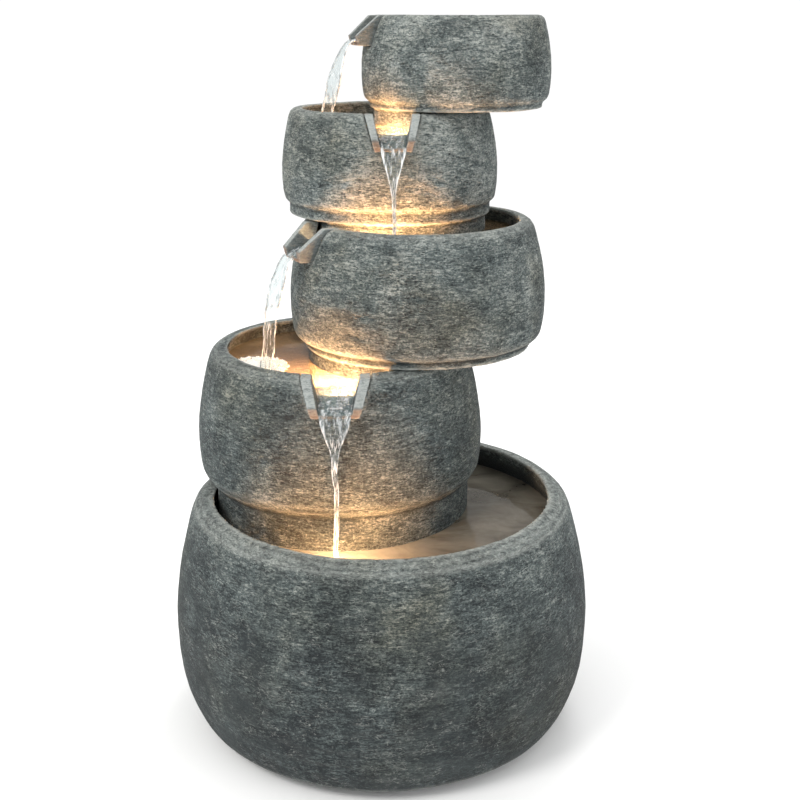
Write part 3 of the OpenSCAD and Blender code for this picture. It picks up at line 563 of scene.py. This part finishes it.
def make_bowl(name, seed):
    """The cast bowl in place of its CAD node, roughened, with lighter worn edges, darker hollows and joints,
    a lining darkened by water and painted shade, and painted shade darker towards its foot.
    """
    node = name + "_bowl"
    mesh = even_skin(node, GRAIN[name])
    wear_and_painted_highlight = worn(mesh, 1.1 * MM)
    wear_and_painted_highlight = np.sign(wear_and_painted_highlight) * np.clip((np.abs(wear_and_painted_highlight) - 0.1) / 0.55, 0, 1)
    fine = roughen(mesh, name, seed, 1.0, GRAIN[name])
    # Darker in hollows and dents and along the joint with the spout
    dark_hollows_and_painted_shade = np.clip(-wear_and_painted_highlight, 0, 1) * 0.9 + np.clip(-fine, 0, 1) * 0.3
    spout_node = name + "_spout"
    if spout_node in frame["nodes"]:
        dark_hollows_and_painted_shade += 0.5 * near_joint(mesh, frame["nodes"][spout_node].data, 3 * MM)
    store(mesh, "wear_and_painted_highlight", np.clip(wear_and_painted_highlight, 0, 1) * 0.9 + np.clip(fine, 0, 1) * 0.35)
    store(mesh, "dark_hollows_and_painted_shade", np.clip(dark_hollows_and_painted_shade, 0, 1))
    store(mesh, "wet_and_painted_shade", water_and_painted_shade_lining(name, mesh))
    store(mesh, "shade", SHADE[name][0] + (SHADE[name][1] - SHADE[name][0]) * height_share(mesh))
    obj = piece_of(name + "_stone", mesh, STONE, name)
    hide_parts(node)
    return obj


def make_spout(name, seed):
    """The cast spout in place of its CAD node: ear tops lighter as a painted highlight, outer flanks darker
    as painted shade, darker end faces and a brown lip.
    """
    node = name + "_spout"
    mesh = even_skin(node, SPOUT_GRAIN)
    wear_and_painted_highlight = worn(mesh, 0.5 * MM)
    spout = SPOUTS[name]
    points, normals = points_of(mesh), normals_of(mesh)
    reach = (points - np.array(spout.axis)) @ np.array(spout.out)
    to_end = spout.end - reach
    height = points[:, 2]
    outside = smoothstep(spout.end - spout.reach - 12 * MM, spout.end - spout.reach - 2 * MM, reach)
    # Painted highlight: upward faces near the top of the ears are lighter
    ear_top = smoothstep(0.45, 0.65, normals[:, 2]) * smoothstep(-26 * MM, -23 * MM, height - spout.rim)
    # Painted shade: sideways faces outside the bowl wall are darker
    flank = smoothstep(0.6, 0.85, np.abs(normals @ np.array(spout.side)))
    end_face = smoothstep(0.6, 0.9, normals @ np.array(spout.out)) * smoothstep(4 * MM, 1 * MM, to_end)
    lip = smoothstep(5 * MM, 1 * MM, to_end) * smoothstep(6 * MM, 2 * MM, height - height.min())
    roughen(mesh, name, seed, 0.2, SPOUT_GRAIN)
    # Lighter: worn edges, and ear tops as a painted highlight. Darker: hollows, end faces, and outer flanks
    # as painted shade.
    store(mesh, "wear_and_painted_highlight", np.clip(np.clip(wear_and_painted_highlight, 0, 1) * 0.6 + ear_top * 0.75, 0, 1))
    store(mesh, "dark_hollows_and_painted_shade", np.clip(np.clip(-wear_and_painted_highlight, 0, 1) + 0.55 * flank * outside + 0.3 * end_face, 0, 1))
    store(mesh, "wet_and_painted_shade", 0 * wear_and_painted_highlight)
    store(mesh, "shade", 0 * wear_and_painted_highlight)
    # Brown on the lip's lower edge and on the end faces
    store(mesh, "lip_brown", np.clip(0.5 * lip + 0.35 * end_face, 0, 0.6))
    obj = piece_of(name + "_spout_stone", mesh, SPOUT_STONE, name)
    mesh.set_sharp_from_angle(angle=math.radians(32))
    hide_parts(node)


# ---- Water ----
# A full-size spout: how far it stands out of the wall, how deep under the rim the channel's sill and
# the spout's underside are, and how thick the lip is
SPOUT_REACH = 30 * MM
SPOUT_SILL = 20 * MM
SPOUT_DROP = 39 * MM
LIP_THICK = 4 * MM


class Spout:
    """Where a bowl's spout is and how water leaves it, from the spout's CAD node and the bowl's axis."""

    def __init__(self, name, turn, scale, top_half, low_half, speed):
        self.name = name
        self.out = Vector((math.cos(turn), math.sin(turn), 0))
        self.side = UP.cross(self.out)
        self.axis = bowl_axis(name)
        points = points_of(frame["nodes"][name + "_spout"].data)
        self.end = ((points - np.array(self.axis)) @ np.array(self.out)).max()
        self.reach = SPOUT_REACH * scale
        self.sill = SPOUT_SILL * scale
        self.drop = SPOUT_DROP * scale
        self.lip_floor = self.drop - LIP_THICK
        self.top_half = top_half
        self.low_half = low_half
        self.lip_half = self.channel_half(-self.lip_floor)
        self.speed = speed
        self.rim = rim_height(name)

    def channel_half(self, up):
        """Half the width of the channel, up from the rim."""
        return self.top_half + (self.low_half - self.top_half) * -up / self.drop

    def at(self, out, up):
        """A point on the spout's middle line: out from the bowl's axis, up from the rim."""
        return self.axis + self.out * out + UP * (self.rim + up)


# Heading, scale, half widths of the channel at the rim and at the drop, and speed of the water
SPOUTS = {
    "second": Spout("second", math.radians(-89), 1.0, 27.5 * MM, 17 * MM, 0.10),
    "third": Spout("third", math.radians(-154), 1.0, 23.4 * MM, 14.2 * MM, 0.22),
    "fourth": Spout("fourth", math.radians(-88), 1.0, 22 * MM, 13.2 * MM, 0.06),
    "top": Spout("top", math.radians(-166), 0.87, 20.6 * MM, 12.6 * MM, 0.235),
}
BELOW = {"second": "base", "third": "second", "fourth": "third", "top": "fourth"}
# Points round a stream, and steps along its channel and its fall
ROUND = 72
CHANNEL_STEPS = 16
FALL_STEPS = 90


def section(half, web, bead):
    """Outline across a stream: a thin web between two round beads, or a rope when it is narrow."""
    outline = []
    for k in range(ROUND):
        turn = 2 * math.pi * k / ROUND
        across = math.cos(turn)
        flat = min(1, half / (3 * bead))
        edge = float(smoothstep(0.62, 0.9, abs(across)))
        thick = (1 - flat) * half * 0.7 + flat * (web + (bead - web) * edge)
        lift = math.copysign(abs(math.sin(turn)) ** 0.6, math.sin(turn))
        outline.append((across * half, lift * thick))
    return outline


def stream_stations(spout, level, gather, rope):
    """Middle, half width, web and bead thickness down the channel and the fall."""
    stations = []
    sill_out = spout.end - spout.reach - WALL[spout.name]
    for k in range(CHANNEL_STEPS):
        t = k / (CHANNEL_STEPS - 1)
        out = sill_out - 6 * MM + (spout.end + 1 * MM - sill_out + 6 * MM) * t
        along = max(0, (out - sill_out) / (spout.end - sill_out))
        up = -spout.sill - (spout.lip_floor - spout.sill) * along + 2.2 * MM * (1 - 0.3 * along)
        half = spout.channel_half(up) - 0.2 * MM
        stations.append((spout.at(out, up), half, 1.6 * MM, 2.0 * MM))
    start = stations[-1][0]
    slope = 0.3 * spout.speed
    drop = start.z - level + 3 * MM
    for k in range(1, FALL_STEPS + 1):
        # Even steps down the fall, not in time
        fallen = drop * k / FALL_STEPS
        t = (-slope + math.sqrt(slope * slope + 2 * GRAVITY * fallen)) / GRAVITY
        middle = start + spout.out * (spout.speed * t) - UP * fallen
        share = float(smoothstep(0, 1, min(fallen / gather, 1)) ** 0.8)
        half = spout.lip_half * (1 - share) + rope * share
        stations.append((middle, half, 0.5 * MM, 1.4 * MM))
    return stations


def whiteness(shares, downs, halves, fallen, seed):
    """How white the water is: 0 in a clear sheet, 1 on its edges, on threads of air and on painted
    highlights in the channel.
    """
    flow = np.stack([shares * halves / (3.2 * MM), downs / (26 * MM), np.sign(fallen) * 3.0], axis=1)
    thread = smoothstep(0.2, 0.02, np.abs(fractal(flow, 1.0, seed, 2)))
    # Painted highlights: white squiggles on the water in the channel
    still = np.stack([shares * halves / (7 * MM), downs / (6 * MM), 0 * fallen + 9.5], axis=1)
    painted_glint = smoothstep(0.13, 0.01, np.abs(fractal(still, 1.0, seed + 5, 2)))
    edge = smoothstep(0.7, 0.93, np.abs(shares))
    narrow = smoothstep(7 * MM, 2.5 * MM, halves)
    falling = 0.06 + 0.8 * edge + 0.5 * thread + 0.3 * narrow
    channel = 0.05 + 0.85 * painted_glint
    return np.clip(np.where(fallen > 0, falling, channel), 0, 1)


def make_stream(name, gather, rope, seed, twist=0.0):
    """The water that leaves a bowl: down its spout, then a sheet that draws together and may turn."""
    spout = SPOUTS[name]
    stations = stream_stations(spout, water_level(BELOW[name]), gather, rope)
    middles = np.array([s[0] for s in stations])
    sway = fractal(middles, 22 * MM, seed, 2)
    sway_fast = fractal(middles + 0.5, 9 * MM, seed + 3, 2)
    rows, shares, downs, halves, falls = [], [], [], [], []
    travelled = 0
    for k, (middle, half, web, bead) in enumerate(stations):
        before = stations[max(k - 1, 0)][0]
        after = stations[min(k + 1, len(stations) - 1)][0]
        along = (after - before).normalized()
        travelled += (middle - before).length
        fallen = max(0, stations[CHANNEL_STEPS - 1][0].z - middle.z)
        turn = twist * float(smoothstep(0, 1, fallen / gather))
        across = spout.side * math.cos(turn) + spout.out * math.sin(turn)
        across = (across - along * across.dot(along)).normalized()
        up = along.cross(across)
        loose = min(1, fallen / (60 * MM))
        shift = across * float(sway[k] * 2.2 * MM * loose) + up * float(sway_fast[k] * 1.0 * MM * loose)
        swell = 1 + 0.2 * float(sway_fast[k]) * loose
        for x, y in section(half * swell, web, bead):
            rows.append(middle + shift + across * x + up * y)
            shares.append(x / (half * swell))
        downs += [travelled] * ROUND
        halves += [half] * ROUND
        falls += [fallen] * ROUND
    points = np.array(rows)
    # Crossing waves on the sheet
    ripple = fractal(points, np.array([7, 7, 16]) * MM, seed + 7, 2)
    away = points - np.repeat(middles, ROUND, axis=0)
    length = np.linalg.norm(away, axis=1, keepdims=True) + 1e-9
    points = points + away / length * (ripple * 0.7 * MM)[:, None]
    faces = []
    for k in range(len(stations) - 1):
        for j in range(ROUND):
            a, b = k * ROUND + j, k * ROUND + (j + 1) % ROUND
            faces.append((a, a + ROUND, b + ROUND, b))
    faces.append(tuple(range(ROUND)))
    faces.append(tuple(range(len(points) - 1, len(points) - ROUND - 1, -1)))
    mesh = mesh_from(name + "_stream", points, faces)
    white = whiteness(np.array(shares), np.array(downs), np.array(halves), np.array(falls), seed + 9)
    store(mesh, "white", white)
    piece_of(name + "_stream", mesh, FALLING, name)
    return stations[-1][0]


POOL_TURNS = 240
POOL_RINGS = 90


def lining_radius(tree, axis, level, turn, start, missing):
    """How far the bowl's inner wall is from its axis at a level, or missing where there is no wall."""
    direction = Vector((math.cos(turn), math.sin(turn), 0))
    hit = tree.ray_cast(axis + UP * level + direction * start, direction, 60 * MM)
    if hit[0] is None:
        return missing
    return start + hit[3] + 1.2 * MM


def make_pool(name, bowl, landings, material, seed):
    """Water surface of a bowl, out to its lining, with rings round each landing."""
    axis, level = bowl_axis(name), water_level(name)
    mesh = bowl.data
    tree = BVHTree.FromPolygons([v.co for v in mesh.vertices], [list(p.vertices) for p in mesh.polygons])
    low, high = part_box(name + "_bowl")
    mouth = (high.x - low.x) / 2 - WALL[name] - 40 * MM
    missing = SPOUTS[name].end - SPOUTS[name].reach - WALL[name] if name in SPOUTS else mouth
    turns = [2 * math.pi * k / POOL_TURNS for k in range(POOL_TURNS)]
    edge = [lining_radius(tree, axis, level, turn, mouth, missing) for turn in turns]
    points = [axis + UP * level]
    for i in range(1, POOL_RINGS + 1):
        for turn, reach in zip(turns, edge):
            outward = Vector((math.cos(turn), math.sin(turn), 0))
            points.append(axis + UP * level + outward * reach * i / POOL_RINGS)
    points = np.array(points)
    wave = fractal(points, 26 * MM, seed, 3) * 0.5
    for landing, size in landings:
        away = np.linalg.norm(points[:, :2] - np.array(landing)[:2], axis=1)
        wave += size * np.cos(away / (9 * MM) * 2 * math.pi) * np.exp(-away / (45 * MM))
        wave -= 2.5 * size * np.exp(-(away / (6 * MM)) ** 2)
    points[:, 2] += wave * MM
    faces = [(0, 1 + k, 1 + (k + 1) % POOL_TURNS) for k in range(POOL_TURNS)]
    for i in range(POOL_RINGS - 1):
        for k in range(POOL_TURNS):
            a, b = 1 + i * POOL_TURNS + k, 1 + i * POOL_TURNS + (k + 1) % POOL_TURNS
            faces.append((a, a + POOL_TURNS, b + POOL_TURNS, b))
    piece_of(name + "_pool", mesh_from(name + "_pool", points, faces), material, name)


def make_foam(name, body, centre, size, count, seed, small=0.5, large=1.9):
    """Bubbles that float in a patch round a landing: dense in its middle, scattered at its edge."""
    draw = np.random.default_rng(seed)
    ball = bmesh.new()
    bmesh.ops.create_icosphere(ball, subdivisions=1, radius=1)
    ball_points = np.array([v.co for v in ball.verts])
    ball_faces = np.array([[v.index for v in f.verts] for f in ball.faces])
    ball.free()
    points, faces = [], []
    for k in range(count):
        reach = draw.random() ** 0.75
        turn = draw.random() * 2 * math.pi
        radius = (small + (large - small) * draw.random() ** 2.5) * MM * (1.15 - 0.5 * reach)
        middle = np.array(centre) + np.array([math.cos(turn) * size[0], math.sin(turn) * size[1], 0]) * reach
        middle[2] += radius * 0.25
        faces.append(ball_faces + k * len(ball_points))
        points.append(ball_points * radius + middle)
    mesh = mesh_from(name, np.concatenate(points), np.concatenate(faces))
    piece_of(name, mesh, BUBBLES, body)


# ---- Studio ----
def area_light(name, at, aim, size, power, colour):
    data = bpy.data.lights.new(name, "AREA")
    data.shape = "DISK"
    data.size = size
    data.energy = power
    data.color = colour
    light = link(bpy.data.objects.new(name, data))
    light.location = at
    light.rotation_euler = (Vector(aim) - Vector(at)).to_track_quat("-Z", "Y").to_euler()


def make_studio():
    """Pale floor, white surroundings and three soft lights."""
    floor_mesh = bpy.data.meshes.new("floor")
    built = bmesh.new()
    bmesh.ops.create_grid(built, x_segments=8, y_segments=8, size=60)
    built.to_mesh(floor_mesh)
    built.free()
    n = Nodes("studio_floor")
    tone = n.ramp(n.noise(n.place(), 3, 2, 0.5), [(0.3, linear("fafaf9")), (0.7, linear("fefefe"))])
    matt = n.add("BsdfPrincipled", Base_Color=tone, Roughness=0.9)
    floor_mesh.materials.append(n.finish(matt.outputs[0]))
    link(bpy.data.objects.new("floor", floor_mesh))
    world = bpy.data.worlds.new("studio")
    world.use_nodes = True
    world.node_tree.nodes["Background"].inputs["Color"].default_value = (1, 1, 1, 1)
    world.node_tree.nodes["Background"].inputs["Strength"].default_value = 1.05
    bpy.context.scene.world = world
    bpy.context.scene.view_settings.view_transform = "Standard"
    middle = (0, 0, 0.45)
    area_light("key_light", (-1.5, -1.7, 2.3), middle, 1.0, 40, (1, 0.99, 0.97))
    area_light("fill_light", (2.0, -1.6, 1.3), middle, 1.6, 7, (0.97, 0.98, 1))
    area_light("rear_light", (0.6, 2.2, 2.2), middle, 1.2, 22, (1, 1, 1))


# ---- Make everything ----
finish_cad_nodes()
make_studio()
bowls = {name: make_bowl(name, 100 * (i + 1)) for i, name in enumerate(NAMES)}
for i, name in enumerate(NAMES[1:]):
    make_spout(name, 700 + 10 * i)
# Where the water from the bowl above lands in each pool
landing = {
    "base": make_stream("second", 58 * MM, 2.9 * MM, 31),
    "second": make_stream("third", 70 * MM, 7.2 * MM, 37, -math.radians(60)),
    "third": make_stream("fourth", 58 * MM, 2.2 * MM, 41),
    "fourth": make_stream("top", 75 * MM, 7.0 * MM, 47, -math.radians(72)),
}
for i, name in enumerate(NAMES):
    landings = [(landing[name], 0.5)] if name in landing else []
    make_pool(name, bowls[name], landings, POOL_GREY if name == "base" else POOL_PAINTED_LAMPLIGHT, 50 + i)
for i, name in enumerate(landing):
    at = landing[name] * 1.0
    at.z = water_level(name)
    make_foam(name + "_bubbles", name, at, (16 * MM, 16 * MM), 130, 80 + i)
# A broad patch of foam, to the left and behind where the third bowl's water lands
patch = landing["second"] + Vector((-14, 28, 0)) * MM
patch.z = water_level("second")
make_foam("second_foam", "second", patch, (40 * MM, 46 * MM), 3000, 90, 0.8, 2.6)
